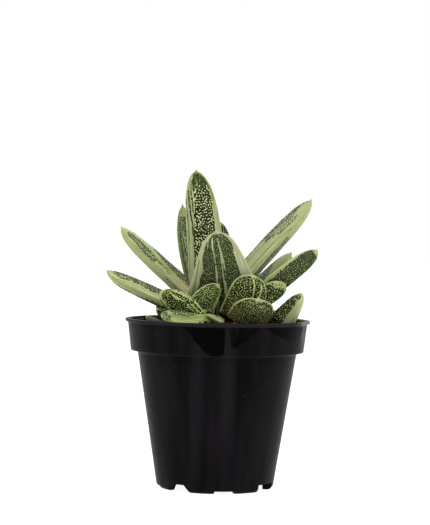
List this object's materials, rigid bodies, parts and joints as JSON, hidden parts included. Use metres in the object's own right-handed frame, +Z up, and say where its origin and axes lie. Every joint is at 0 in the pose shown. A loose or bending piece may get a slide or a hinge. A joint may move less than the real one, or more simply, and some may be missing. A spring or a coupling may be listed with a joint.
{
  "type": "potted gasteria",
  "caption": "Clump of thick, warty, keeled succulent leaves in dark green and cream, fanning out of a thin round black nursery pot filled with soil.",
  "frame": {"origin": "centre of the pot's underside, on the surface that it stands on", "axes": "+Z up along the pot's axis, -Y towards the side that the picture shows, +X to the right in the picture"},
  "size_m": [0.0974, 0.0875, 0.1466],
  "materials": {
    "pot": "satin",
    "soil": "matte",
    "stem": "matte",
    "leaf": "satin"
  },
  "bodies": {
    "root": {"pot": "pot", "soil": "soil", "stem_main": "stem", "stem_front_left": "stem", "stem_front_right": "stem", "stem_right": "stem", "stem_back": "stem", "leaf_tall": "leaf", "leaf_front_wide": "leaf", "leaf_upright_left": "leaf", "leaf_upright_back": "leaf", "leaf_right_upper": "leaf", "leaf_left_upper": "leaf", "leaf_right_inner": "leaf", "leaf_right_lower": "leaf", "leaf_left_lower": "leaf", "leaf_back_left_upper": "leaf", "leaf_back_right_upper": "leaf", "leaf_front_right": "leaf", "leaf_front_middle": "leaf", "leaf_right_short": "leaf", "leaf_front_left": "leaf", "leaf_front_round": "leaf", "leaf_front_left_low": "leaf", "leaf_front_bud": "leaf", "leaf_right_low": "leaf", "leaf_left_short": "leaf", "leaf_soil_left": "leaf", "leaf_back_left": "leaf", "leaf_back_right": "leaf", "leaf_back_middle": "leaf", "leaf_back_left_low": "leaf", "leaf_back_right_low": "leaf", "leaf_left_back": "leaf", "leaf_right_back": "leaf"}
  },
  "joints": []
}
